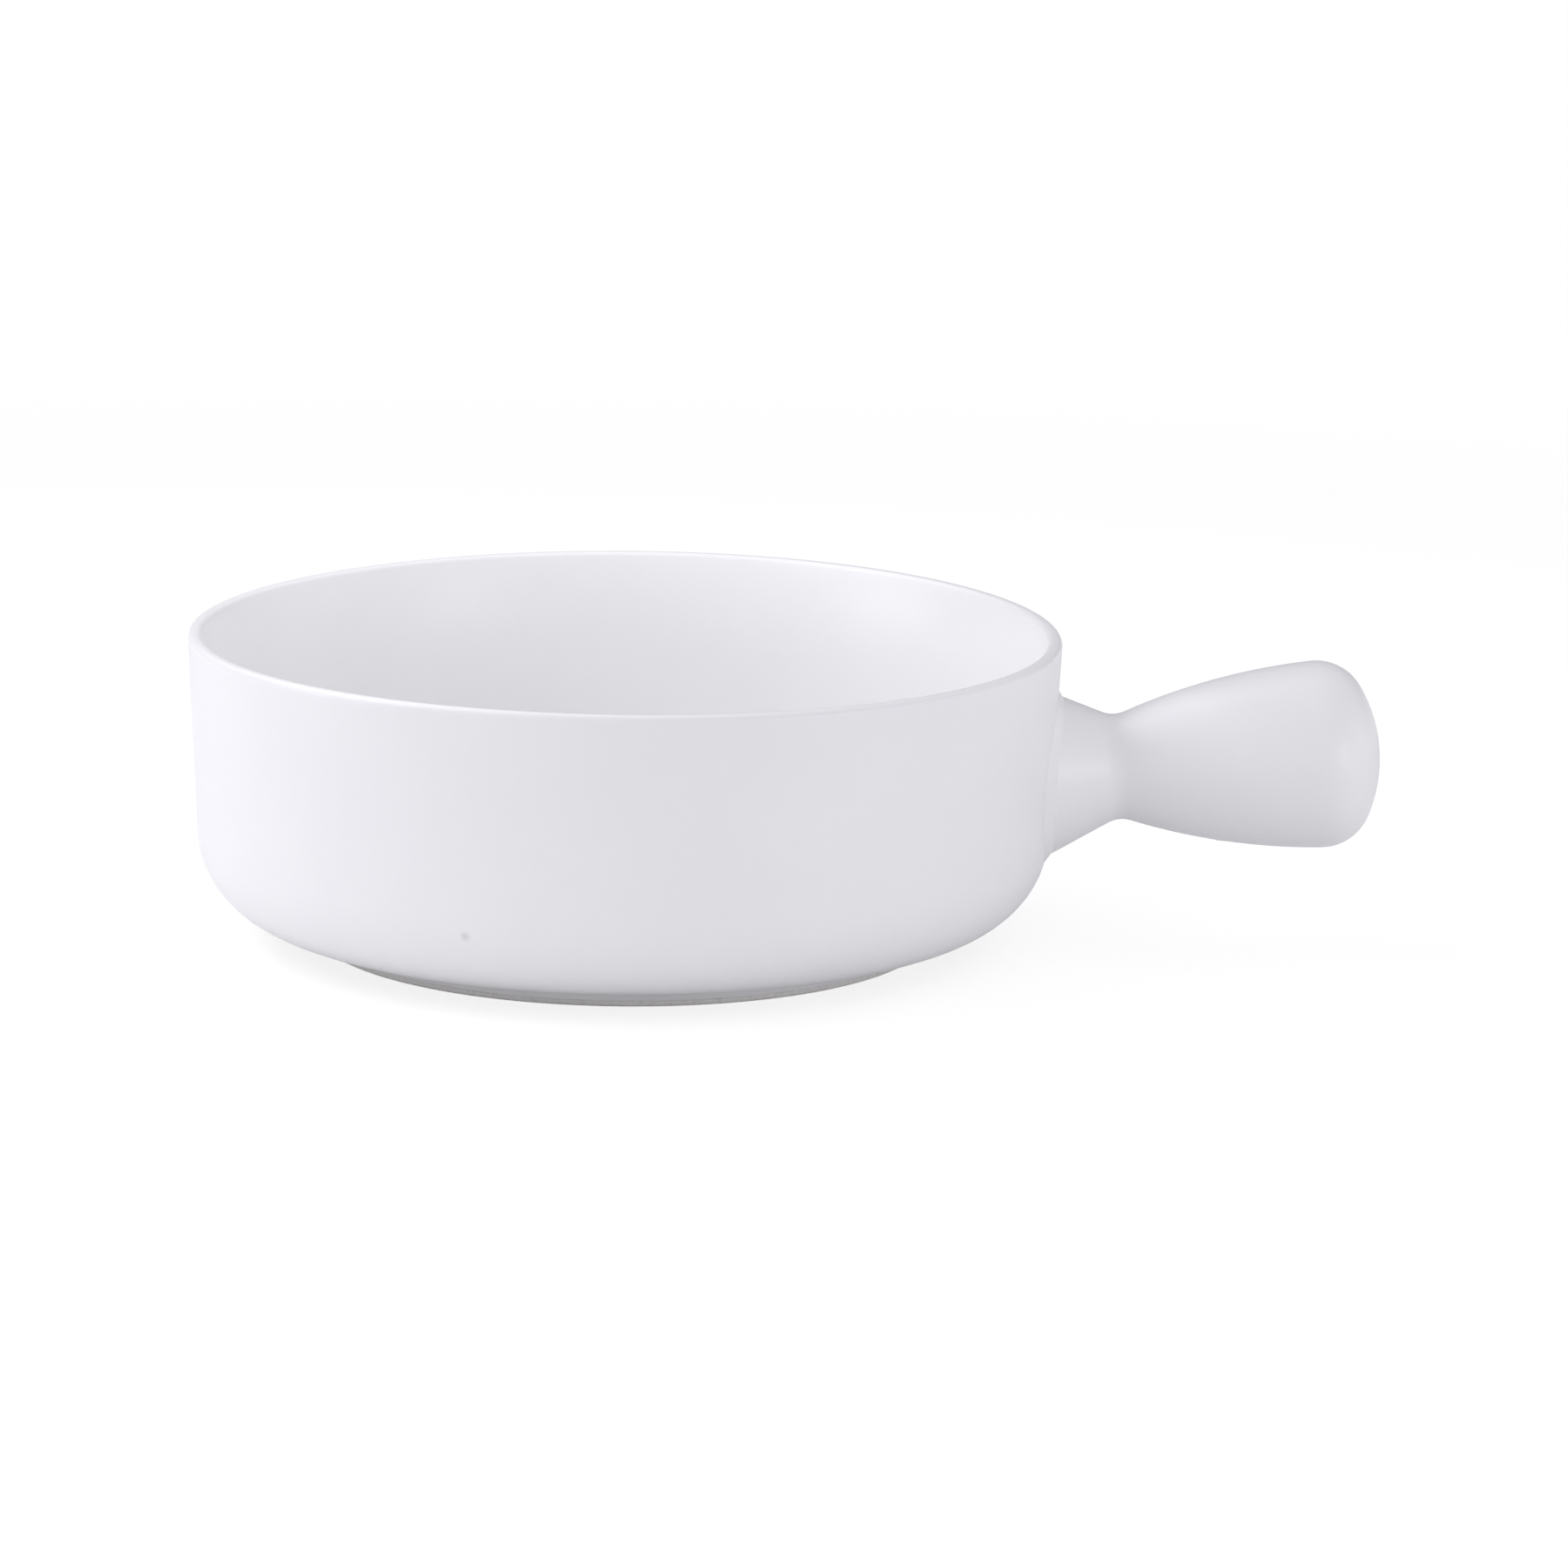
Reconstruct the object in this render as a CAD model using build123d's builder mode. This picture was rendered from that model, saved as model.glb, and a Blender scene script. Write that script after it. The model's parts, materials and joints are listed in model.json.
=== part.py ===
from build123d import *
import os
from math import cos, radians, sin, sqrt, tan

# A round stoneware soup crock with one stub handle, in millimetres.
# The origin is the centre of the foot ring on the table, +Z is up and +X runs out along the handle.

# Dish: overall form
rim_diameter = 140.0
height = 50.0
wall_lean = 2.6
heel_radius = 14.0

# Dish: clay thickness, thinned on the inside towards the lip, and inside
wall_thickness = 4.3
lip_thickness = 2.2
lip_fullness = 0.96
lip_taper = 16.0
floor_thickness = 5.0
inner_corner_radius = 9.0

# Foot ring turned under the dish
foot_diameter = 100.0
foot_width = 4.5
foot_height = 3.6
foot_edge_round = 0.8
base_recess = 3.0

# Handle: where it leaves the wall and how it rises
handle_height = 28.0
handle_tilt = 4.6

# Handle: flared root, waist, swelling grip and domed end, with lengths taken from the wall
root_diameter = 25.8
flare_length = 10.2
waist_diameter = 16.3
waist_round = 4.6
grip_diameter = 30.5
swell_length = 37.4
handle_length = 52.6
end_dome_depth = 5.6
end_round = 8.2

# Handle: hollow casting and its vent
handle_wall = 4.2
vent_diameter = 3.0
vent_distance = 24.0

# Slip that joins the handle's root to the wall
slip_thickness = 0.8
bead_width = 0.8
slip_setback = 0.6

# Sizes that follow: the root and slip blanks run on through the wall before they are cut to it,
# and the seats that cut them run on above the rim
trim_depth = wall_thickness
seat_top = height + root_diameter
floor_level = base_recess + floor_thickness
taper_level = height - lip_taper
lip_round = lip_fullness * lip_thickness / 2
root_radius = root_diameter / 2
waist_radius = waist_diameter / 2
grip_radius = grip_diameter / 2
flare_slope = (root_radius - waist_radius) / flare_length
flank_rise = grip_radius - waist_radius
flank_radius = (swell_length**2 + flank_rise**2) / (2 * flank_rise)


def wall_radius(level):
    """Outer radius of the leaning wall at a height above the table."""
    return rim_diameter / 2 - (height - level) * tan(radians(wall_lean))


def flare_radius(distance):
    """Radius of the handle's flared root at a distance out from the wall."""
    return root_radius - flare_slope * distance


def grip_profile(distance):
    """Radius of the grip's flank, one arc about the widest section, at a distance out from the wall."""
    from_widest = distance - flare_length - swell_length
    return grip_radius - flank_radius + sqrt(flank_radius**2 - from_widest**2)


def dish_envelope(growth, top):
    """Filled half section of the dish's outside up to a level, swollen outwards by growth."""
    base_level = foot_height - growth
    swell = growth / cos(radians(wall_lean))
    with BuildSketch(Plane.YZ) as section:
        with BuildLine():
            Polyline(
                (0, base_level),
                (wall_radius(base_level) + swell, base_level),
                (wall_radius(top) + swell, top),
                (0, top),
                close=True,
            )
        make_face()
        heel = section.vertices().group_by(Axis.Y)[0].sort_by(Axis.X)[-1]
        fillet(heel, heel_radius + growth)
    return section.sketch


# Dish with its foot ring, rounded heel, leaning wall and full round lip
with BuildPart() as bowl_body:
    revolve(dish_envelope(0, height), axis=Axis.Z)
    with BuildSketch(Plane.XY):
        Circle(foot_diameter / 2)
    extrude(amount=floor_level)
    with BuildSketch(Plane.XY):
        Circle(foot_diameter / 2 - foot_width)
    extrude(amount=base_recess, mode=Mode.SUBTRACT)
    fillet(bowl_body.edges().group_by(Axis.Z)[0], foot_edge_round)
    with BuildSketch(Plane.YZ):
        with BuildLine():
            inside = Polyline(
                (wall_radius(height) - lip_thickness, height),
                (0, height),
                (0, floor_level),
                (wall_radius(floor_level) - wall_thickness, floor_level),
                (wall_radius(taper_level) - wall_thickness, taper_level),
            )
            TangentArc(inside @ 1, inside @ 0, tangent=inside % 1)
        make_face()
        inner_corner = vertices().group_by(Axis.Y)[0].sort_by(Axis.X)[-1]
        fillet(inner_corner, inner_corner_radius)
    revolve(axis=Axis.Z, mode=Mode.SUBTRACT)
    fillet(bowl_body.edges().group_by(Axis.Z)[-1], lip_round)
bowl_body.part.label = "bowl_body"

# The dish's outside at its own size and with the slip on it: the seats of the slip and of the handle
with BuildPart() as wall_seat:
    revolve(dish_envelope(0, seat_top), axis=Axis.Z)

with BuildPart() as slip_seat:
    revolve(dish_envelope(slip_thickness, seat_top), axis=Axis.Z)

# The handle's own plane: X out along its axis from the wall, Y up across it
rise = radians(handle_tilt)
handle_plane = Plane(
    origin=(wall_radius(handle_height), 0, handle_height),
    x_dir=(cos(rise), 0, sin(rise)),
    z_dir=(0, -1, 0),
)
handle_axis = Axis(handle_plane.origin, handle_plane.x_dir)

# The grip's flank runs from the waist to the edge of the domed end
end_edge = handle_length - end_dome_depth
mid_flank = (flare_length + end_edge) / 2

# Handle: turned outline, hollow inside, vented underneath, its root cut to the wall
with BuildPart() as handle:
    with BuildSketch(handle_plane):
        with BuildLine():
            Line((-trim_depth, 0), (-trim_depth, flare_radius(-trim_depth)))
            Line((-trim_depth, flare_radius(-trim_depth)), (flare_length, waist_radius))
            ThreePointArc(
                (flare_length, waist_radius),
                (mid_flank, grip_profile(mid_flank)),
                (end_edge, grip_profile(end_edge)),
            )
            TangentArc((handle_length, 0), (end_edge, grip_profile(end_edge)), tangent=(0, 1))
            Line((handle_length, 0), (-trim_depth, 0))
        make_face()
        waist = vertices().sort_by_distance((flare_length, waist_radius))[0]
        fillet(waist, waist_round)
        end_corner = vertices().sort_by_distance((end_edge, grip_profile(end_edge)))[0]
        fillet(end_corner, end_round)
    revolve(axis=handle_axis)
    offset(amount=-handle_wall, openings=handle.faces().sort_by(handle_axis)[0])
    with BuildSketch(Plane(handle_plane.from_local_coords((vent_distance, 0, 0)), z_dir=-handle_plane.y_dir)):
        Circle(vent_diameter / 2)
    extrude(amount=grip_radius, mode=Mode.SUBTRACT)
    add(slip_seat.part, mode=Mode.SUBTRACT)
handle.part.label = "handle"

# The slip is wiped square to the leaning wall, about the middle of the root's outline on it
joint_drop = root_radius * flare_slope * tan(radians(wall_lean + handle_tilt))
joint_level = handle_height - joint_drop
lean = radians(wall_lean)
joint_plane = Plane(
    origin=(wall_radius(joint_level), 0, joint_level),
    x_dir=(cos(lean), 0, -sin(lean)),
    z_dir=(sin(lean), 0, cos(lean)),
)
joint_axis = Axis(joint_plane.origin, joint_plane.x_dir)

# Slip: a saddle between root and wall, open over the hollow, with a bead wiped at 45 degrees round the outside
pour_radius = root_radius - handle_wall * sqrt(1 + flare_slope**2)
slip_inner_radius = pour_radius + slip_setback
bead_radius = root_radius + bead_width
with BuildPart() as luting_slip:
    with BuildSketch(joint_plane):
        with BuildLine():
            Polyline(
                (-trim_depth, slip_inner_radius),
                (-trim_depth, bead_radius + trim_depth),
                (bead_radius - slip_inner_radius, slip_inner_radius),
                close=True,
            )
        make_face()
    revolve(axis=joint_axis)
    add(wall_seat.part, mode=Mode.SUBTRACT)
    add(handle.part, mode=Mode.SUBTRACT)
luting_slip.part.label = "luting_slip"

os.makedirs("parts", exist_ok=True)
export_step(bowl_body.part, "parts/bowl_body.step")
export_step(handle.part, "parts/handle.step")
export_step(luting_slip.part, "parts/luting_slip.step")
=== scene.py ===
"""A white glazed soup crock with a stub handle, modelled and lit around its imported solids."""

import json
import logging
import math
from abc import ABC, abstractmethod
from dataclasses import dataclass, field
from enum import Enum
from typing import Callable, ClassVar

import bmesh
import bpy
from mathutils import Matrix, Quaternion, Vector
from mathutils.geometry import intersect_line_sphere_2d, intersect_sphere_sphere_2d


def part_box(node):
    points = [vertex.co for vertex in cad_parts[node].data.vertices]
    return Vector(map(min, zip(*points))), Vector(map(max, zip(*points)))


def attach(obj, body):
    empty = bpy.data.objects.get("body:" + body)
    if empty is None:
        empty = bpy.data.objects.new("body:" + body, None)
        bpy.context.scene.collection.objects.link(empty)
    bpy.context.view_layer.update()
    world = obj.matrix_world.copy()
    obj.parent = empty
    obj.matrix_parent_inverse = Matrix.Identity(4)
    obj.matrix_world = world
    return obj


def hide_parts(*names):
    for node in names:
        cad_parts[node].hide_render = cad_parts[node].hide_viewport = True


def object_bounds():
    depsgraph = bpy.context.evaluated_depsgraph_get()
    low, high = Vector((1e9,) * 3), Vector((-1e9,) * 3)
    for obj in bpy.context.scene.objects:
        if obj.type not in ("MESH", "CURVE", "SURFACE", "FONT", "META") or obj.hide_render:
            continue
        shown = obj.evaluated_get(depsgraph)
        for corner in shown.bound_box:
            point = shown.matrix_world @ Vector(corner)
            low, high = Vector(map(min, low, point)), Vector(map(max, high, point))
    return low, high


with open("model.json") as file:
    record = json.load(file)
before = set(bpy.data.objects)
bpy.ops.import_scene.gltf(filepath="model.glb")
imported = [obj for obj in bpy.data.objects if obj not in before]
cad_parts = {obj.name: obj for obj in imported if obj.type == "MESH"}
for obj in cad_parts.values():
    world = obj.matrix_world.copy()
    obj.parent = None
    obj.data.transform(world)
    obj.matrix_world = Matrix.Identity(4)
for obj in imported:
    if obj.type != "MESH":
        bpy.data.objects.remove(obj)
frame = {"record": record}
CAD_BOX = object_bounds()

MM = 0.001
MERGE_DISTANCE = 0.001 * MM

Colour = tuple[float, float, float]
Place = tuple[float, float, float]
ORIGIN: Place = (0.0, 0.0, 0.0)
X_AXIS: Place = (1.0, 0.0, 0.0)
Y_AXIS: Place = (0.0, 1.0, 0.0)
Z_AXIS: Place = (0.0, 0.0, 1.0)

# The white that the camera sees, and the slightly cool light of the lamps and the tent
WHITE: Colour = (1.0, 1.0, 1.0)
WHITE_STRENGTH = 1.0
LIGHT: Colour = (1.0, 0.992, 1.058)

log = logging.getLogger("soup_crock")


class Solid(Enum):
    """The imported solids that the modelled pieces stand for."""

    DISH = "bowl_body"
    HANDLE = "handle"
    SLIP = "luting_slip"

    @property
    def slot(self) -> str:
        """Name of the material slot that the record gives this solid."""
        rows = frame["record"]["subparts"]
        return next(row["material_slot"] for row in rows if row["node"] == self.value)


class Sum(Enum):
    """The Math node's operations that the finishes use."""

    ADD = "ADD"
    SUBTRACT = "SUBTRACT"
    MULTIPLY = "MULTIPLY"
    GREATER = "MAXIMUM"


class Ray(Enum):
    """The kinds of ray that see a surface rather than gather its light."""

    CAMERA = "Is Camera Ray"
    GLOSSY = "Is Glossy Ray"
    TRANSMISSION = "Is Transmission Ray"


class Value:
    """A number that changes over a surface, held as a node's output."""

    def __init__(self, bench: "Bench", socket: bpy.types.NodeSocket) -> None:
        """Keep an output socket and the bench that its node stands on."""
        self.bench = bench
        self.socket = socket

    def __add__(self, other: "Value | float") -> "Value":
        """Self plus other."""
        return self.bench.sum(Sum.ADD, self, other)

    def __radd__(self, other: float) -> "Value":
        """Other plus self."""
        return self.bench.sum(Sum.ADD, other, self)

    def __sub__(self, other: "Value | float") -> "Value":
        """Self minus other."""
        return self.bench.sum(Sum.SUBTRACT, self, other)

    def __rsub__(self, other: float) -> "Value":
        """Other minus self."""
        return self.bench.sum(Sum.SUBTRACT, other, self)

    def __mul__(self, other: "Value | float") -> "Value":
        """Self times other."""
        return self.bench.sum(Sum.MULTIPLY, self, other)

    def __rmul__(self, other: float) -> "Value":
        """Other times self."""
        return self.bench.sum(Sum.MULTIPLY, other, self)

    def __or__(self, other: "Value | float") -> "Value":
        """The greater of self and other, which joins two masks."""
        return self.bench.sum(Sum.GREATER, self, other)


Feed = Value | bpy.types.NodeSocket | float | tuple


class Bench:
    """The node tree of one finish, with one way to add a node to it."""

    MIX_FACTOR = 0
    MIX_A = 6
    MIX_B = 7
    MIX_RESULT = 2
    NOISE_MIDDLE = 0.5

    def __init__(self, tree: bpy.types.NodeTree) -> None:
        """Take a node tree and clear it."""
        self.tree = tree
        self.tree.nodes.clear()

    def node(
        self,
        kind: str,
        settings: dict[str, object] | None = None,
        feeds: dict[str | int, Feed] | None = None,
    ) -> bpy.types.Node:
        """Add a node, set it up and feed its sockets.

        Args:
            kind: Type name of the node.
            settings: Attributes of the node, set before its sockets are fed.
            feeds: Values or links, by the name or number of the input.

        Returns:
            The new node.
        """
        made = self.tree.nodes.new(kind)
        for name, setting in (settings or {}).items():
            setattr(made, name, setting)
        for key, feed in (feeds or {}).items():
            source = feed.socket if isinstance(feed, Value) else feed
            if isinstance(source, bpy.types.NodeSocket):
                self.tree.links.new(source, made.inputs[key])
            else:
                made.inputs[key].default_value = source
        return made

    def sum(self, operation: Sum, first: Feed, second: Feed) -> Value:
        """Join two numbers with one Math node.

        Args:
            operation: What the node does.
            first: First number.
            second: Second number.

        Returns:
            The result.
        """
        made = self.node("ShaderNodeMath", {"operation": operation.value}, {0: first, 1: second})
        return Value(self, made.outputs["Value"])

    def places(self) -> bpy.types.NodeSocket:
        """Object coordinates, which are metres in the crock's own frame."""
        return self.node("ShaderNodeTexCoord").outputs["Object"]

    def noise(self, places: bpy.types.NodeSocket, grain: float, detail: float) -> Value:
        """Even noise about a half.

        Args:
            places: Coordinates in metres.
            grain: Size of its largest lumps, in metres.
            detail: Octaves of finer lumps inside them.

        Returns:
            The noise, from 0 to 1.
        """
        feeds = {"Vector": places, "Scale": 1.0 / grain, "Detail": detail}
        return Value(self, self.node("ShaderNodeTexNoise", None, feeds).outputs["Fac"])

    def fade(self, value: Value, low: float, high: float) -> Value:
        """Smooth step of a value.

        Args:
            value: The number that is read.
            low: Where the step gives 0.
            high: Where it gives 1, which may lie below low.

        Returns:
            The step, from 0 to 1.
        """
        feeds = {"Value": value, "From Min": low, "From Max": high}
        made = self.node("ShaderNodeMapRange", {"interpolation_type": "SMOOTHSTEP"}, feeds)
        return Value(self, made.outputs["Result"])

    def span(self, places: bpy.types.NodeSocket, point: Place) -> Value:
        """Distance from a point, in metres.

        Args:
            places: Coordinates in metres.
            point: The point.

        Returns:
            The distance.
        """
        made = self.node("ShaderNodeVectorMath", {"operation": "DISTANCE"}, {0: places, 1: point})
        return Value(self, made.outputs["Value"])

    def blend(self, share: Feed, first: Feed, second: Feed) -> bpy.types.NodeSocket:
        """Mix two colours.

        Args:
            share: Share of the second colour.
            first: First colour, with alpha if it is a plain one.
            second: Second colour, with alpha if it is a plain one.

        Returns:
            The mixed colour's socket.
        """
        feeds = {self.MIX_FACTOR: share, self.MIX_A: first, self.MIX_B: second}
        return self.node("ShaderNodeMix", {"data_type": "RGBA"}, feeds).outputs[self.MIX_RESULT]

    def mix(self, share: Feed, first: bpy.types.Node, second: bpy.types.Node) -> bpy.types.Node:
        """Mix two shaders.

        Args:
            share: Share of the second shader.
            first: First shader's node.
            second: Second shader's node.

        Returns:
            The mixing node.
        """
        feeds = {0: share, 1: first.outputs[0], 2: second.outputs[0]}
        return self.node("ShaderNodeMixShader", None, feeds)

    def ray(self, kind: Ray) -> Value:
        """1 for one kind of ray and 0 for the others."""
        return Value(self, self.node("ShaderNodeLightPath").outputs[kind.value])

    def seen(self) -> Value:
        """1 where a surface is seen, directly or mirrored or through glass, and 0 for its light."""
        return self.ray(Ray.CAMERA) | self.ray(Ray.GLOSSY) | self.ray(Ray.TRANSMISSION)


def opaque(colour: Colour) -> tuple[float, float, float, float]:
    """Colour with a full alpha, as a colour socket takes it."""
    return (*colour, 1.0)


@dataclass(frozen=True)
class Speck:
    """One dark grain of iron burnt through the glaze."""

    place: Place
    radius: float
    depth: float = 0.24


@dataclass(frozen=True)
class BareClay:
    """Fired stoneware where the glaze was wiped off before the kiln."""

    colour: Colour = (0.85, 0.835, 0.805)
    grit_colour: Colour = (0.74, 0.715, 0.675)
    roughness: float = 0.88
    grit: float = 0.6 * MM
    grit_octaves: float = 3.0
    grit_fade: tuple[float, float] = (0.45, 0.75)
    edge: float = 0.25 * MM
    wander: float = 0.5 * MM
    wander_length: float = 14.0 * MM
    wander_octaves: float = 2.0


@dataclass(frozen=True)
class WhiteGlaze:
    """Satin white glaze, a little cool where thick and warmer where it runs thin over an edge."""

    colour: Colour = (0.902, 0.900, 0.888)
    thick_colour: Colour = (0.890, 0.889, 0.881)
    thin_colour: Colour = (0.902, 0.894, 0.880)
    speck_colour: Colour = (0.22, 0.18, 0.06)
    roughness: float = 0.335
    roughness_drift: float = 0.10
    cloud_size: float = 26.0 * MM
    cloud_octaves: float = 3.0
    cloud_fade: tuple[float, float] = (0.35, 0.7)
    ripple_size: float = 2.4 * MM
    ripple_depth: float = 0.05 * MM
    ripple_octaves: float = 1.0
    peel_size: float = 0.55 * MM
    peel_octaves: float = 1.0
    peel_share: float = 0.18
    reflectance: float = 1.5
    thin_above: float | None = None
    thin_band: float = 1.6 * MM
    thin_share: float = 0.6
    bare_below: float | None = None
    clay: BareClay = BareClay()
    specks: tuple[Speck, ...] = ()

    def make(self, name: str) -> bpy.types.Material:
        """Mix the glaze as a material.

        Args:
            name: Name of the material.

        Returns:
            The material.
        """
        material = bpy.data.materials.new(name)
        material.use_nodes = True
        bench = Bench(material.node_tree)
        places = bench.places()
        level = Value(bench, bench.node("ShaderNodeSeparateXYZ", None, {0: places}).outputs["Z"])

        clouds = bench.noise(places, self.cloud_size, self.cloud_octaves)
        ripples = bench.noise(places, self.ripple_size, self.ripple_octaves)
        peel = bench.noise(places, self.peel_size, self.peel_octaves)
        thick = bench.fade(clouds, *self.cloud_fade)
        colour = bench.blend(thick, opaque(self.colour), opaque(self.thick_colour))
        roughness = self.roughness + self.roughness_drift * (clouds - bench.NOISE_MIDDLE)
        height = ripples + self.peel_share * peel

        if self.thin_above is not None:
            thin = bench.fade(level, self.thin_above, self.thin_above + self.thin_band)
            colour = bench.blend(self.thin_share * thin, colour, opaque(self.thin_colour))
        for speck in self.specks:
            burnt = bench.fade(bench.span(places, speck.place), speck.radius, 0.0)
            colour = bench.blend(speck.depth * burnt, colour, opaque(self.speck_colour))
        if self.bare_below is not None:
            colour, roughness, height = self.wipe(bench, places, level, (colour, roughness, height))

        bump = bench.node("ShaderNodeBump", None, {"Distance": self.ripple_depth, "Height": height})
        skin = bench.node(
            "ShaderNodeBsdfPrincipled",
            None,
            {
                "Base Color": colour,
                "Roughness": roughness,
                "Normal": bump.outputs["Normal"],
                "IOR": self.reflectance,
            },
        )
        bench.node("ShaderNodeOutputMaterial", None, {"Surface": skin.outputs["BSDF"]})
        return material

    def wipe(
        self,
        bench: Bench,
        places: bpy.types.NodeSocket,
        level: Value,
        glazed: tuple[bpy.types.NodeSocket, Value, Value],
    ) -> tuple[bpy.types.NodeSocket, Value, Value]:
        """Wipe the glaze off below its line, which wanders a little round the foot.

        Args:
            bench: The material's node tree.
            places: Coordinates in metres.
            level: Height above the table.
            glazed: Colour, roughness and surface height of the glaze.

        Returns:
            Colour, roughness and surface height of the glaze and the bare clay together.
        """
        colour, roughness, height = glazed
        clay = self.clay
        drift = bench.noise(places, clay.wander_length, clay.wander_octaves)
        wander = clay.wander * (drift - bench.NOISE_MIDDLE)
        bare = bench.fade(level + wander, self.bare_below + clay.edge, self.bare_below)
        grit = bench.noise(places, clay.grit, clay.grit_octaves)
        gritty = bench.fade(grit, *clay.grit_fade)
        clay_colour = bench.blend(gritty, opaque(clay.colour), opaque(clay.grit_colour))
        return (
            bench.blend(bare, colour, clay_colour),
            roughness + bare * (clay.roughness - self.roughness),
            height + bare * grit,
        )


class Section:
    """A half section drawn as a wire in the XZ plane, to be turned into a solid of revolution."""

    def __init__(self) -> None:
        """Start with an empty wire."""
        self.mesh = bmesh.new()
        self.tip: bmesh.types.BMVert | None = None

    def line_to(self, x: float, z: float) -> bmesh.types.BMVert:
        """Draw a straight stretch from the tip, or start the wire.

        Args:
            x: First coordinate of its end.
            z: Second coordinate of its end.

        Returns:
            The vertex at its end, which is the new tip.
        """
        end = self.mesh.verts.new((x, 0.0, z))
        if self.tip is not None:
            self.mesh.edges.new((self.tip, end))
        self.tip = end
        return end

    def arc_to(self, end: Vector, centre: Vector, steps: int) -> None:
        """Swing the tip about a centre to a point on the same circle.

        Args:
            end: Point where the arc ends, in the section's plane.
            centre: Centre of the arc.
            steps: Number of chords.
        """
        start = Vector((self.tip.co.x, self.tip.co.z))
        swung = bmesh.ops.spin(
            self.mesh,
            geom=[self.tip],
            cent=(centre.x, 0.0, centre.y),
            axis=Y_AXIS,
            angle=(start - centre).angle_signed(end - centre),
            steps=steps,
        )
        self.tip = next(v for v in swung["geom_last"] if isinstance(v, bmesh.types.BMVert))

    def bend_to(self, end: Vector, way: Vector, steps: int) -> None:
        """Draw an arc that leaves the tip in one direction and comes to a point.

        Args:
            end: Point where the arc ends, in the section's plane.
            way: Direction in which it leaves the tip.
            steps: Number of chords.
        """
        start = Vector((self.tip.co.x, self.tip.co.z))
        across, span = way.orthogonal(), end - start
        self.arc_to(end, start + across * span.length_squared / (2 * span.dot(across)), steps)

    def round_corner(self, corner: bmesh.types.BMVert, radius: float, segments: int) -> None:
        """Round a corner between two straight stretches.

        Args:
            corner: Vertex of the corner.
            radius: Radius of the round.
            segments: Number of chords.
        """
        before, after = (edge.other_vert(corner).co - corner.co for edge in corner.link_edges)
        bmesh.ops.bevel(
            self.mesh,
            geom=[corner],
            offset=radius / math.tan(before.angle(after) / 2),
            offset_type="OFFSET",
            segments=segments,
            profile=0.5,
            affect="VERTICES",
            clamp_overlap=False,
            material=-1,
        )

    def close(self) -> None:
        """Join the tip to the start of the wire."""
        self.mesh.verts.ensure_lookup_table()
        self.mesh.edges.new((self.tip, self.mesh.verts[0]))

    def divide(self, spacing: float) -> None:
        """Cut long straight stretches into shorter chords.

        Args:
            spacing: Length that each chord stays under.
        """
        for edge in self.mesh.edges[:]:
            cuts = int(edge.calc_length() / spacing)
            if cuts:
                bmesh.ops.subdivide_edges(self.mesh, edges=[edge], cuts=cuts)

    def turn(self, axis: Place, steps: int) -> bmesh.types.BMesh:
        """Turn the wire once round an axis through the origin.

        Args:
            axis: Direction of the axis.
            steps: Number of steps in the full turn.

        Returns:
            The turned surface, with its poles closed and its faces outwards.
        """
        bmesh.ops.spin(
            self.mesh,
            geom=self.mesh.verts[:] + self.mesh.edges[:],
            cent=ORIGIN,
            axis=axis,
            angle=math.tau,
            steps=steps,
            use_merge=True,
        )
        bmesh.ops.remove_doubles(self.mesh, verts=self.mesh.verts[:], dist=MERGE_DISTANCE)
        bmesh.ops.recalc_face_normals(self.mesh, faces=self.mesh.faces[:])
        return self.mesh


@dataclass(frozen=True)
class KilnWarp:
    """The slight warp that a thin wall takes in the kiln: none at the foot, most at the rim."""

    OVAL_ENDS: ClassVar[int] = 2
    LOBES: ClassVar[int] = 3
    WAVE_CRESTS: ClassVar[int] = 2

    full_level: float = 50.0 * MM
    full_radius: float = 70.0 * MM
    oval: float = 0.20 * MM
    oval_heading: float = math.radians(35.0)
    lobe: float = 0.10 * MM
    lobe_heading: float = math.radians(-20.0)
    wave: float = 0.22 * MM
    wave_heading: float = math.radians(70.0)

    def apply(self, mesh: bmesh.types.BMesh) -> None:
        """Move a mesh's vertices by the distortion at each one's place."""
        for vert in mesh.verts:
            vert.co += self.shift(vert.co)

    def shift(self, point: Vector) -> Vector:
        """How far the clay at a point moves.

        Args:
            point: Place in the true shape.

        Returns:
            The move, which grows with the square of the height above the table.
        """
        heading = math.atan2(point.y, point.x)
        outwards = Vector((point.x, point.y, 0.0))
        share = (point.z / self.full_level) ** 2 * min(outwards.length / self.full_radius, 1.0)
        bulge = self.oval * math.cos(self.OVAL_ENDS * (heading - self.oval_heading))
        bulge += self.lobe * math.cos(self.LOBES * (heading - self.lobe_heading))
        lift = self.wave * math.cos(self.WAVE_CRESTS * (heading - self.wave_heading))
        return share * (bulge * outwards.normalized() + lift * Vector(Z_AXIS))


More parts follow.
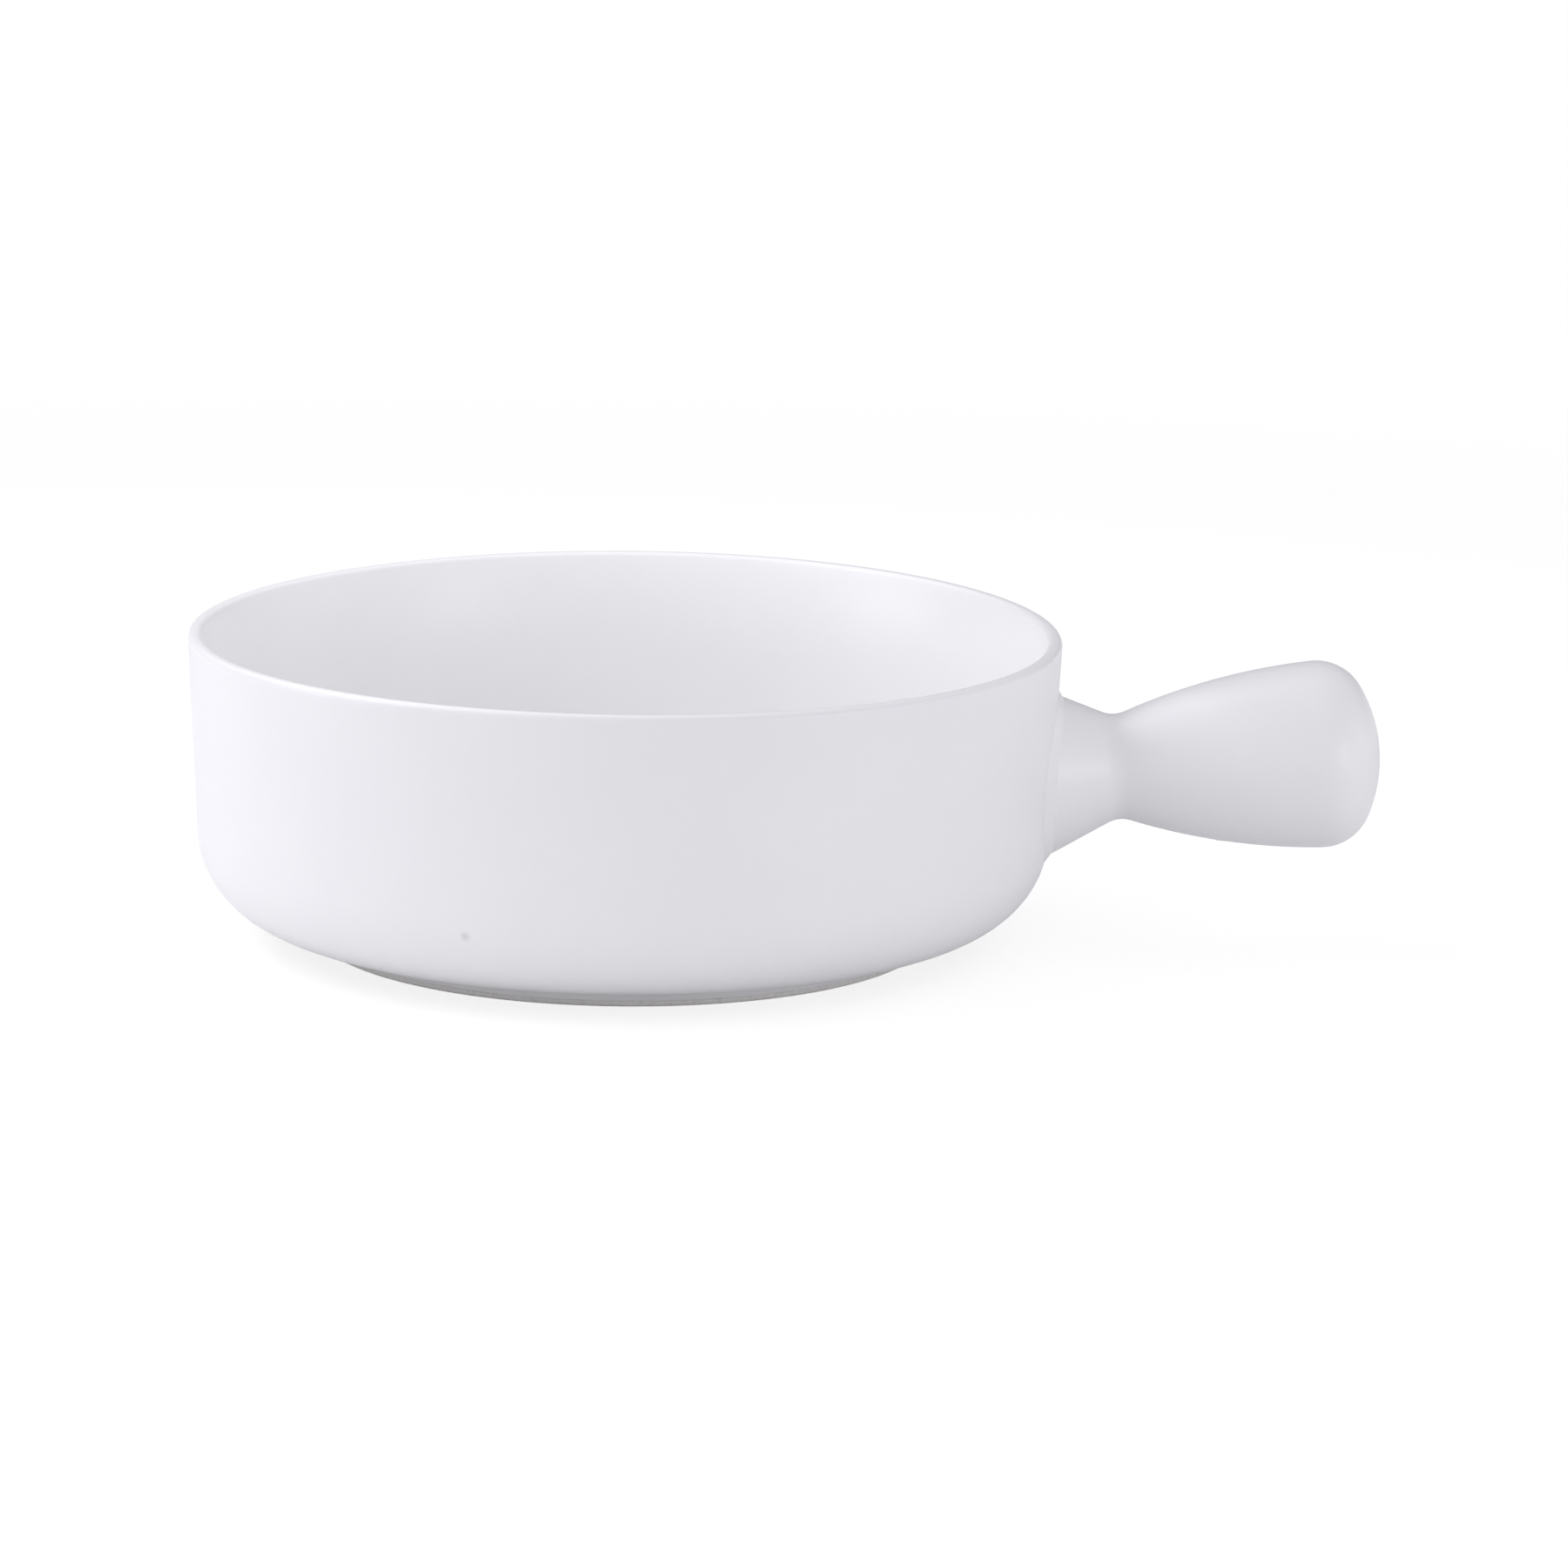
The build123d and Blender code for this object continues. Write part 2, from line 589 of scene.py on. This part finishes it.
@dataclass
class ClayPiece(ABC):
    """A piece that the potter makes by itself, with its glaze."""

    solid: ClassVar[Solid]
    piece_name: ClassVar[str]

    @abstractmethod
    def model(self) -> bmesh.types.BMesh:
        """Model the piece's closed mesh in the crock's frame."""

    @abstractmethod
    def finish(self) -> WhiteGlaze:
        """The glaze that the piece gets."""

    def build(self, warp: KilnWarp) -> bpy.types.Object:
        """Make the piece's object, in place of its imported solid.

        Args:
            warp: Distortion that the whole crock shares.

        Returns:
            The object, riding on the crock's one body.
        """
        mesh = self.model()
        warp.apply(mesh)
        for face in mesh.faces:
            face.smooth = True
        data = bpy.data.meshes.new(self.piece_name)
        mesh.to_mesh(data)
        mesh.free()
        piece = bpy.data.objects.new(self.piece_name, data)
        bpy.context.scene.collection.objects.link(piece)
        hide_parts(self.solid.value)
        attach(piece, "root")
        return piece

    def dress(self, piece: bpy.types.Object) -> None:
        """Give the piece its glaze."""
        piece.data.materials.append(self.finish().make(f"{self.piece_name}_glaze"))


@dataclass
class Dish(ClayPiece):
    """The round dish: foot ring, rounded heel, leaning wall that thins to a lip, flat inside."""

    solid = Solid.DISH
    piece_name = "dish"

    wall_lean: float = math.radians(2.6)
    wall_thickness: float = 4.3 * MM
    lip_thickness: float = 2.2 * MM
    lip_round: float = 1.05 * MM
    lip_taper: float = 16.0 * MM
    floor_thickness: float = 5.0 * MM
    heel_radius: float = 14.0 * MM
    inner_corner_radius: float = 9.0 * MM
    foot_radius: float = 50.0 * MM
    foot_width: float = 4.5 * MM
    foot_height: float = 3.6 * MM
    foot_edge_round: float = 0.8 * MM
    foot_cove: float = 0.7 * MM
    base_recess: float = 3.0 * MM
    glaze_line: float = 1.1 * MM
    glaze_depth: float = 0.15 * MM
    grain: Speck = Speck((-22.4 * MM, -64.2 * MM, 14.4 * MM), 1.1 * MM)
    turn_steps: int = 192
    spacing: float = 5.0 * MM
    taper_steps: int = 8
    inner_corner_segments: int = 10
    lip_segments: int = 8
    heel_segments: int = 14
    cove_segments: int = 4
    glaze_segments: int = 2
    foot_segments: int = 5
    search_steps: int = 40
    height: float = field(init=False)
    rim_radius: float = field(init=False)

    def __post_init__(self) -> None:
        """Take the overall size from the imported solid."""
        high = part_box(self.solid.value)[1]
        self.height = high.z
        self.rim_radius = high.x + self.lip_round * math.tan(self.wall_lean)

    def wall_radius(self, level: float) -> float:
        """Outer radius of the leaning wall, run on past the heel, at a height above the table."""
        return self.rim_radius - (self.height - level) * math.tan(self.wall_lean)

    def outside(self, level: float, growth: float = 0.0) -> float:
        """Outer radius of the wall and heel.

        Args:
            level: Height above the table.
            growth: How far the outside is swollen.

        Returns:
            The radius there.
        """
        heel_level = self.foot_height + self.heel_radius
        if level >= heel_level - (self.heel_radius + growth) * math.sin(self.wall_lean):
            return self.wall_radius(level) + growth / math.cos(self.wall_lean)
        heel_centre = self.wall_radius(heel_level) - self.heel_radius / math.cos(self.wall_lean)
        return heel_centre + math.sqrt((self.heel_radius + growth) ** 2 - (level - heel_level) ** 2)

    def stand_off(self, point: Vector, growth: float = 0.0) -> float:
        """How far a point stands out from the outside, along the radius."""
        return math.hypot(point.x, point.y) - self.outside(point.z, growth)

    def meet(self, start: Vector, way: Vector, reach: float, growth: float = 0.0) -> Vector:
        """Follow a line until it meets the outside.

        Args:
            start: Point on the line, outside the dish.
            way: Unit direction into the dish.
            reach: Length along the line within which it meets the dish.
            growth: How far the outside is swollen.

        Returns:
            The meeting point.
        """
        near, far = 0.0, reach
        for _ in range(self.search_steps):
            middle = (near + far) / 2
            if self.stand_off(start + way * middle, growth) > 0.0:
                near = middle
            else:
                far = middle
        return start + way * near

    def lay_on(self, point: Vector) -> Vector:
        """Move a point along its radius onto the outside."""
        outwards = Vector((point.x, point.y, 0.0)).normalized()
        return point - outwards * self.stand_off(point)

    def model(self) -> bmesh.types.BMesh:
        """Turn the dish's section, from the middle inside over the lip to the middle underneath.

        Returns:
            The dish's closed mesh.
        """
        floor_level = self.base_recess + self.floor_thickness
        taper_level = self.height - self.lip_taper
        foot_inside = self.foot_radius - self.foot_width
        up_wall = Vector((math.sin(self.wall_lean), math.cos(self.wall_lean)))
        section = Section()
        section.line_to(0.0, floor_level)
        inside = self.wall_radius(floor_level) - self.wall_thickness
        inner_corner = section.line_to(inside, floor_level)
        section.line_to(self.wall_radius(taper_level) - self.wall_thickness, taper_level)
        lip_inside = Vector((self.rim_radius - self.lip_thickness, self.height))
        section.bend_to(lip_inside, up_wall, self.taper_steps)
        drawn = [
            (inner_corner, self.inner_corner_radius, self.inner_corner_segments),
            (section.tip, self.lip_round, self.lip_segments),
        ]
        heel = self.wall_radius(self.foot_height)
        bare_outside = self.foot_radius - self.glaze_depth
        bare_inside = foot_inside + self.glaze_depth
        corners = (
            (self.rim_radius, self.height, self.lip_round, self.lip_segments),
            (heel, self.foot_height, self.heel_radius, self.heel_segments),
            (self.foot_radius, self.foot_height, self.foot_cove, self.cove_segments),
            (self.foot_radius, self.glaze_line, self.glaze_depth / 2, self.glaze_segments),
            (bare_outside, self.glaze_line, 0.0, 0),
            (bare_outside, 0.0, self.foot_edge_round, self.foot_segments),
            (bare_inside, 0.0, self.foot_edge_round, self.foot_segments),
            (bare_inside, self.glaze_line, 0.0, 0),
            (foot_inside, self.glaze_line, self.glaze_depth / 2, self.glaze_segments),
            (foot_inside, self.base_recess, self.foot_cove, self.cove_segments),
            (0.0, self.base_recess, 0.0, 0),
        )
        drawn += [(section.line_to(x, z), radius, segments) for x, z, radius, segments in corners]
        for corner, radius, segments in drawn:
            if radius:
                section.round_corner(corner, radius, segments)
        section.divide(self.spacing)
        return section.turn(Z_AXIS, self.turn_steps)

    def finish(self) -> WhiteGlaze:
        """Choose the dish's glaze.

        Returns:
            White glaze, thin over the lip, wiped off the foot, with one grain low on the wall.
        """
        return WhiteGlaze(
            thin_above=self.height - self.lip_round,
            bare_below=self.glaze_line - self.glaze_depth,
            specks=(self.grain,),
        )


def spoke(turn: float) -> Vector:
    """Unit direction out from the handle's axis, in its own frame, at an angle about it."""
    return Vector((0.0, -math.sin(turn), math.cos(turn)))


def turn_of(point: Vector) -> float:
    """Angle about the handle's axis of a point in its own frame, which undoes spoke."""
    return math.atan2(-point.y, point.z)


@dataclass
class StubHandle(ClayPiece):
    """The hollow handle: flared root, tight waist, grip that swells to a domed end, and a vent."""

    solid = Solid.HANDLE
    piece_name = "stub_handle"

    dish: Dish
    level: float = 28.0 * MM
    tilt: float = math.radians(4.6)
    root_radius: float = 12.9 * MM
    flare_length: float = 10.2 * MM
    waist_radius: float = 8.15 * MM
    waist_round: float = 4.6 * MM
    grip_radius: float = 15.25 * MM
    swell_length: float = 37.4 * MM
    length: float = 52.6 * MM
    end_dome_depth: float = 5.6 * MM
    end_round: float = 8.2 * MM
    clay: float = 4.2 * MM
    slip_thickness: float = 0.8 * MM
    vent_radius: float = 1.5 * MM
    vent_distance: float = 24.0 * MM
    vent_edge: float = 0.4 * MM
    turn_steps: int = 96
    flare_cuts: int = 5
    waist_steps: int = 14
    flank_steps: int = 22
    end_steps: int = 12
    dome_steps: int = 8
    vent_edge_segments: int = 3

    @property
    def flare_slope(self) -> float:
        """How much the flared root narrows per length."""
        return (self.root_radius - self.waist_radius) / self.flare_length

    @property
    def placement(self) -> Matrix:
        """From the handle's own frame, X out along its axis from the wall, to the crock's."""
        root = Vector((self.dish.wall_radius(self.level), 0.0, self.level))
        return Matrix.Translation(root) @ Matrix.Rotation(-self.tilt, 4, "Y")

    @property
    def axis(self) -> Vector:
        """Unit direction out along the handle, in the crock's frame."""
        return self.placement.to_3x3() @ Vector(X_AXIS)

    @property
    def reach(self) -> float:
        """Length within which a line from the waist towards the dish meets it."""
        return 2 * self.flare_length

    def generator(self, turn: float) -> tuple[Vector, Vector]:
        """One straight line of the flared root.

        Args:
            turn: Angle about the handle's axis.

        Returns:
            A point of the line at the waist and its unit direction towards the dish.
        """
        waist = Vector((self.flare_length, 0.0, 0.0)) + spoke(turn) * self.waist_radius
        way = -Vector(X_AXIS) + spoke(turn) * self.flare_slope
        return self.placement @ waist, (self.placement.to_3x3() @ way).normalized()

    def root_point(self, turn: float, growth: float) -> Vector:
        """Where a line of the flared root meets the dish's outside, swollen by growth."""
        waist, way = self.generator(turn)
        return self.dish.meet(waist, way, self.reach, growth)

    def section(self) -> Section:
        """Draw the outside from the root to the tip, X along the axis and Z out from it.

        Returns:
            The wire: flare, waist round, flank, end round and domed end, each tangent to the next.
        """
        flank_rise = self.grip_radius - self.waist_radius
        flank_radius = (self.swell_length**2 + flank_rise**2) / (2 * flank_rise)
        flank = Vector((self.flare_length + self.swell_length, self.grip_radius - flank_radius))
        end_edge = self.length - self.end_dome_depth
        end_radius = flank.y + math.sqrt(flank_radius**2 - (end_edge - flank.x) ** 2)
        dome_radius = (end_radius**2 + self.end_dome_depth**2) / (2 * self.end_dome_depth)
        dome = Vector((self.length - dome_radius, 0.0))

        off_flare = Vector((self.flare_slope, 1.0)).normalized() * self.waist_round
        root = Vector((0.0, self.root_radius))
        sharp_waist = Vector((self.flare_length, self.waist_radius))
        waist_centres = intersect_line_sphere_2d(
            root + off_flare, sharp_waist + off_flare, flank, flank_radius + self.waist_round, False
        )
        waist = min(waist_centres, key=lambda centre: (centre - sharp_waist).length)
        end_centres = intersect_sphere_sphere_2d(
            flank, flank_radius - self.end_round, dome, dome_radius - self.end_round
        )
        end = max(end_centres, key=lambda centre: centre.y)

        wire = Section()
        wire.line_to(root.x, root.y)
        wire.line_to(*(waist - off_flare))
        waist_end = waist + (flank - waist).normalized() * self.waist_round
        flank_end = flank + (end - flank).normalized() * flank_radius
        wire.arc_to(waist_end, waist, self.waist_steps)
        wire.arc_to(flank_end, flank, self.flank_steps)
        wire.arc_to(dome + (end - dome).normalized() * dome_radius, end, self.end_steps)
        wire.arc_to(Vector((self.length, 0.0)), dome, self.dome_steps)
        return wire

    def model(self) -> bmesh.types.BMesh:
        """Turn the outside, fit its root to the slip, give it its clay and pierce the vent.

        Returns:
            The handle's closed mesh, hollow inside.
        """
        mesh = self.section().turn(X_AXIS, self.turn_steps)
        root_loop = [vert for vert in mesh.verts if vert.is_boundary]
        turns = [turn_of(vert.co) for vert in root_loop]
        bmesh.ops.transform(mesh, matrix=self.placement, verts=mesh.verts[:])
        for vert, turn in zip(root_loop, turns):
            vert.co = self.root_point(turn, self.slip_thickness)
        flare_lines = [
            edge for vert in root_loop for edge in vert.link_edges if not edge.is_boundary
        ]
        bmesh.ops.subdivide_edges(mesh, edges=flare_lines, cuts=self.flare_cuts)
        at_root = mesh.verts.layers.int.new("root")
        for vert in mesh.verts:
            vert[at_root] = vert.is_boundary
        bmesh.ops.solidify(mesh, geom=mesh.faces[:], thickness=self.clay)
        self.seat(mesh, at_root)
        self.pierce(mesh)
        bmesh.ops.recalc_face_normals(mesh, faces=mesh.faces[:])
        return mesh

    def seat(self, mesh: bmesh.types.BMesh, at_root: bmesh.types.BMLayerItem) -> None:
        """Slide the root's edges along the axis onto the slip, and keep them crisp.

        Args:
            mesh: The hollow handle.
            at_root: Layer that marks the vertices of the root's edges.
        """
        axis = self.axis
        for vert in mesh.verts:
            if vert[at_root]:
                ahead = vert.co + axis * self.flare_length
                vert.co = self.dish.meet(ahead, -axis, self.reach, self.slip_thickness)
        for edge in mesh.edges:
            edge.smooth = not all(vert[at_root] for vert in edge.verts)

    def pierce(self, mesh: bmesh.types.BMesh) -> None:
        """Open the vent through the underside and soften its outer edge.

        Args:
            mesh: The hollow handle.
        """
        middle = self.placement @ Vector((self.vent_distance, 0.0, 0.0))
        down = self.placement.to_3x3() @ -Vector(Z_AXIS)
        below = [vert for vert in mesh.verts if (vert.co - middle).dot(down) > 0.0]
        below.sort(key=lambda vert: (vert.co - middle).cross(down).length)
        inner_and_outer = sorted(below[:2], key=lambda vert: (vert.co - middle).dot(down))
        for start in inner_and_outer:
            patch = {
                face
                for near in start.link_faces
                for vert in near.verts
                for face in vert.link_faces
            }
            bmesh.ops.delete(mesh, geom=list(patch), context="FACES")
        rims = [edge for edge in mesh.edges if edge.is_boundary]
        for vert in {vert for edge in rims for vert in edge.verts}:
            depth = (vert.co - middle).dot(down)
            aside = vert.co - middle - down * depth
            vert.co = middle + down * depth + aside.normalized() * self.vent_radius
        bmesh.ops.bridge_loops(mesh, edges=rims)
        rims.sort(key=lambda edge: (edge.verts[0].co - middle).dot(down))
        bmesh.ops.bevel(
            mesh,
            geom=rims[len(rims) // 2:],
            offset=self.vent_edge,
            offset_type="OFFSET",
            segments=self.vent_edge_segments,
            profile=0.5,
            affect="EDGES",
            material=-1,
        )

    def finish(self) -> WhiteGlaze:
        """White glaze all over."""
        return WhiteGlaze()


@dataclass
class SlipBead(ClayPiece):
    """The slip between the handle's root and the wall, pressed out to a low bead round the root."""

    solid = Solid.SLIP
    piece_name = "slip_bead"

    dish: Dish
    handle: StubHandle
    inner_radius: float = 8.9 * MM
    narrow: float = 0.8 * MM
    wide: float = 1.9 * MM
    fullness: float = 1.15
    unevenness: float = 0.10
    lumps: int = 3
    lump_heading: float = 0.7
    bead_steps: int = 12

    def girth(self, turn: float) -> float:
        """Width of the bead, narrow above and below the root and wide at its sides.

        Args:
            turn: Angle about the handle's axis.

        Returns:
            The width.
        """
        side = math.sin(turn) ** 2
        lumpy = 1 + self.unevenness * math.sin(self.lumps * turn + self.lump_heading)
        return (self.narrow + (self.wide - self.narrow) * side) * lumpy

    def bead(self, share: float) -> Callable[[float], Vector]:
        """One line round the bead's face.

        Args:
            share: Share of the way from the handle's flare, 0, down to the wall, 1.

        Returns:
            The line, as a function of the angle about the handle's axis.
        """
        def line(turn: float) -> Vector:
            """Point on the bead's curve, which bulges out of the corner by its fullness.

            Args:
                turn: Angle about the handle's axis.

            Returns:
                The point, in the crock's frame.
            """
            corner = self.handle.root_point(turn, 0.0)
            way = self.handle.generator(turn)[1]
            outwards = self.handle.placement.to_3x3() @ spoke(turn)
            on_flare = corner - way * self.girth(turn)
            on_wall = self.dish.lay_on(corner + outwards * self.girth(turn))
            pull = corner.lerp((on_flare + on_wall) / 2, self.fullness)
            return (1 - share) ** 2 * on_flare + 2 * share * (1 - share) * pull + share**2 * on_wall

        return line

    def bore(self, growth: float) -> Callable[[float], Vector]:
        """One line round the slip's inner edge, open over the handle's hollow.

        Args:
            growth: How far the line stands off the wall.

        Returns:
            The line, as a function of the angle about the handle's axis.
        """
        def line(turn: float) -> Vector:
            """Point of the edge, found along the handle's axis.

            Args:
                turn: Angle about the handle's axis.

            Returns:
                The point, in the crock's frame.
            """
            start = Vector((self.handle.flare_length, 0.0, 0.0)) + self.inner_radius * spoke(turn)
            ahead = self.handle.placement @ start
            return self.dish.meet(ahead, -self.handle.axis, self.handle.reach, growth)

        return line

    def model(self) -> bmesh.types.BMesh:
        """Turn a ring and fit its courses to the bead's face, the wall or the handle's root.

        Returns:
            The slip's closed mesh.
        """
        courses = [self.bead(step / self.bead_steps) for step in range(self.bead_steps + 1)]
        courses.append(self.bore(0.0))
        courses.append(self.bore(self.handle.slip_thickness))
        courses.append(lambda turn: self.handle.root_point(turn, self.handle.slip_thickness))
        section = Section()
        layer = section.mesh.verts.layers.int.new("course")
        for number in range(len(courses)):
            section.line_to(number * MM, self.handle.root_radius)[layer] = number
        section.close()
        mesh = section.turn(X_AXIS, self.handle.turn_steps)
        for vert in mesh.verts:
            vert.co = courses[vert[layer]](turn_of(vert.co))
        feather = {0, self.bead_steps}
        for edge in mesh.edges:
            ends = {vert[layer] for vert in edge.verts}
            edge.smooth = not (len(ends) == 1 and ends <= feather)
        bmesh.ops.recalc_face_normals(mesh, faces=mesh.faces[:])
        return mesh

    def finish(self) -> WhiteGlaze:
        """White glaze, as on the handle."""
        return WhiteGlaze()


@dataclass(frozen=True)
class SoftBox:
    """A rectangular studio lamp behind a diffuser."""

    name: str
    place: Place
    aim: Place
    width: float
    height: float
    watts: float
    colour: Colour = LIGHT

    def build(self) -> bpy.types.Object:
        """Hang the lamp and turn it to its aim.

        Returns:
            The lamp's object.
        """
        data = bpy.data.lights.new(self.name, "AREA")
        data.shape = "RECTANGLE"
        data.size = self.width
        data.size_y = self.height
        data.energy = self.watts
        data.color = self.colour
        lamp = bpy.data.objects.new(self.name, data)
        lamp.location = self.place
        lamp.visible_camera = False
        way = Vector(self.aim) - Vector(self.place)
        lamp.rotation_euler = way.to_track_quat("-Z", "Y").to_euler()
        bpy.context.scene.collection.objects.link(lamp)
        return lamp


@dataclass(frozen=True)
class Floor:
    """A white sweep under the crock that keeps its soft shadow and runs out to plain white."""

    radius: float = 6.0
    segments: int = 96
    drop: float = 0.02 * MM
    colour: Colour = (0.92, 0.92, 0.92)
    lift: float = 0.42
    shadow_softening: float = 0.6
    shadow_radius: float = 0.20
    white_radius: float = 0.60

    def build(self) -> bpy.types.Object:
        """Lay the floor just under the foot.

        Returns:
            The floor's object.
        """
        mesh = bmesh.new()
        bmesh.ops.create_circle(
            mesh, cap_ends=True, segments=self.segments, radius=self.radius
        )
        bmesh.ops.translate(mesh, vec=(0.0, 0.0, -self.drop), verts=mesh.verts[:])
        data = bpy.data.meshes.new("floor")
        mesh.to_mesh(data)
        mesh.free()
        floor = bpy.data.objects.new("floor", data)
        bpy.context.scene.collection.objects.link(floor)
        data.materials.append(self.paint())
        return floor

    def paint(self) -> bpy.types.Material:
        """Mix the floor's white.

        Returns:
            The material: white that takes the shadow near the crock, lifted and softened for the
            camera alone, and plain white further out to whatever sees it.
        """
        material = bpy.data.materials.new("floor_white")
        material.use_nodes = True
        bench = Bench(material.node_tree)
        distance = bench.span(bench.places(), ORIGIN)
        away = bench.fade(distance, self.shadow_radius, self.white_radius)
        camera = bench.ray(Ray.CAMERA)
        lit = bench.node("ShaderNodeBsdfDiffuse", None, {"Color": opaque(self.colour)})
        glow = bench.node("ShaderNodeEmission", None, {"Strength": self.lift})
        lifted = bench.node("ShaderNodeAddShader", None, {0: lit.outputs[0], 1: glow.outputs[0]})
        near = bench.mix(camera, lit, lifted)
        white = bench.node("ShaderNodeEmission", None, {"Strength": WHITE_STRENGTH})
        whole = bench.mix(bench.seen() * (away | self.shadow_softening * camera), near, white)
        bench.node("ShaderNodeOutputMaterial", None, {"Surface": whole.outputs[0]})
        return material


@dataclass(frozen=True)
class Tent:
    """A white cloth dome over the set, lit from outside with a strength of its own on each side."""

    FURTHEST: ClassVar[float] = 1.0

    radius: float = 3.0
    subdivisions: int = 4
    colour: Colour = LIGHT
    left: float = 0.0
    right: float = 1.13
    front: float = 0.87
    back: float = 0.27
    ceiling: float = 0.46
    ceiling_edge: float = 0.2
    wall_edge: float = 0.2

    def build(self) -> bpy.types.Object:
        """Stand the dome over the set and the camera, which doesn't see it.

        Returns:
            The dome's object.
        """
        mesh = bmesh.new()
        bmesh.ops.create_icosphere(mesh, subdivisions=self.subdivisions, radius=self.radius)
        whole = mesh.verts[:] + mesh.edges[:] + mesh.faces[:]
        bmesh.ops.bisect_plane(
            mesh, geom=whole, plane_co=ORIGIN, plane_no=Z_AXIS, clear_inner=True
        )
        data = bpy.data.meshes.new("tent")
        mesh.to_mesh(data)
        mesh.free()
        tent = bpy.data.objects.new("tent", data)
        tent.visible_camera = False
        bpy.context.scene.collection.objects.link(tent)
        data.materials.append(self.cloth())
        return tent

    def cloth(self) -> bpy.types.Material:
        """Light the cloth with a strength of its own on the left, right, front, back and overhead.

        Returns:
            The material. Rays find it by themselves, and sampling it as a lamp only takes longer.
        """
        material = bpy.data.materials.new("tent_cloth")
        material.use_nodes = True
        material.cycles.emission_sampling = "NONE"
        bench = Bench(material.node_tree)
        colour = opaque(self.colour)
        left, right, front, back, ceiling = (
            bench.node("ShaderNodeEmission", None, {"Color": colour, "Strength": strength})
            for strength in (self.left, self.right, self.front, self.back, self.ceiling)
        )
        way = bench.node("ShaderNodeSeparateXYZ", None, {0: bench.places()})
        across, along, up = (
            Value(bench, way.outputs[axis]) * (1.0 / self.radius) for axis in "XYZ"
        )
        sides = bench.mix(bench.fade(across, -self.FURTHEST, self.FURTHEST), left, right)
        before = bench.mix(bench.fade(along, -self.wall_edge, -self.FURTHEST), sides, front)
        walls = bench.mix(bench.fade(along, self.wall_edge, self.FURTHEST), before, back)
        whole = bench.mix(bench.fade(up, self.ceiling_edge, self.FURTHEST), walls, ceiling)
        bench.node("ShaderNodeOutputMaterial", None, {"Surface": whole.outputs[0]})
        return material


@dataclass(frozen=True)
class Surround:
    """The white room outside the tent."""

    def build(self) -> bpy.types.World:
        """Make the room the scene's world.

        Returns:
            The world: plain white to whatever sees it, and no light of its own.
        """
        world = bpy.data.worlds.new("white_room")
        world.use_nodes = True
        bpy.context.scene.world = world
        bench = Bench(world.node_tree)
        dark = bench.node("ShaderNodeBackground", None, {"Strength": 0.0})
        feeds = {"Color": opaque(WHITE), "Strength": WHITE_STRENGTH}
        white = bench.node("ShaderNodeBackground", None, feeds)
        whole = bench.mix(bench.seen(), dark, white)
        bench.node("ShaderNodeOutputWorld", None, {"Surface": whole.outputs[0]})
        return world


@dataclass(frozen=True)
class StudioCamera:
    """A long lens low in front of the crock, with its handle to the right."""

    elevation: float = math.radians(12.25)
    roll: float = math.radians(0.9)
    distance: float = 1.12
    lens: float = 159.6
    sensor: float = 36.0
    near_share: float = 0.1
    far_share: float = 20.0

    def build(self, centre: Vector) -> bpy.types.Object:
        """Stand the camera up and make it the scene's own.

        Args:
            centre: Point in the middle of the picture.

        Returns:
            The camera's object.
        """
        data = bpy.data.cameras.new("studio_camera")
        data.lens = self.lens
        data.sensor_width = self.sensor
        data.clip_start = self.near_share * self.distance
        data.clip_end = self.far_share * self.distance
        camera = bpy.data.objects.new("studio_camera", data)
        back = Vector((0.0, -math.cos(self.elevation), math.sin(self.elevation)))
        camera.location = centre + back * self.distance
        turn = (-back).to_track_quat("-Z", "Y") @ Quaternion(Z_AXIS, self.roll)
        camera.rotation_euler = turn.to_euler()
        bpy.context.scene.collection.objects.link(camera)
        bpy.context.scene.camera = camera
        return camera


@dataclass(frozen=True)
class Studio:
    """The floor, the tent, the room, the lamps and the camera."""

    floor: Floor = Floor()
    tent: Tent = Tent()
    surround: Surround = Surround()
    camera: StudioCamera = StudioCamera()
    # Each lamp's name, place, aim, width, height and watts
    lamps: tuple[SoftBox, ...] = (
        SoftBox("key", (-1.05, -0.2, 0.18), (0.0, 0.0, 0.03), 0.55, 0.28, 1.65),
        SoftBox("left_front", (-0.28, -0.1, 0.3), (-0.02, 0.0, 0.02), 0.25, 0.25, 0.36),
        SoftBox("left_back", (-0.22, 0.05, 0.3), (-0.02, 0.0, 0.02), 0.25, 0.25, 0.275),
        SoftBox("overhead", (-0.1, 0.12, 0.32), (-0.03, 0.0, 0.02), 0.25, 0.25, 0.23),
        SoftBox("right", (0.82, -0.64, 0.19), (0.05, 0.0, 0.03), 0.45, 0.34, 0.81),
    )

    def build(self) -> None:
        """Set the studio up round the crock."""
        self.floor.build()
        self.tent.build()
        self.surround.build()
        for lamp in self.lamps:
            lamp.build()
        low, high = CAD_BOX
        self.camera.build((low + high) / 2)
        bpy.context.scene.view_settings.view_transform = "Standard"


def main() -> None:
    """Build the crock and its studio, and report each piece."""
    logging.basicConfig(level=logging.INFO, format="%(name)s: %(message)s")
    warp = KilnWarp()
    dish = Dish()
    handle = StubHandle(dish)
    for part in (dish, handle, SlipBead(dish, handle)):
        piece = part.build(warp)
        part.dress(piece)
        faces = len(piece.data.polygons)
        log.info("%s: %d faces in place of %s", piece.name, faces, part.solid.value)
    Studio().build()


if __name__ == "__main__":
    main()
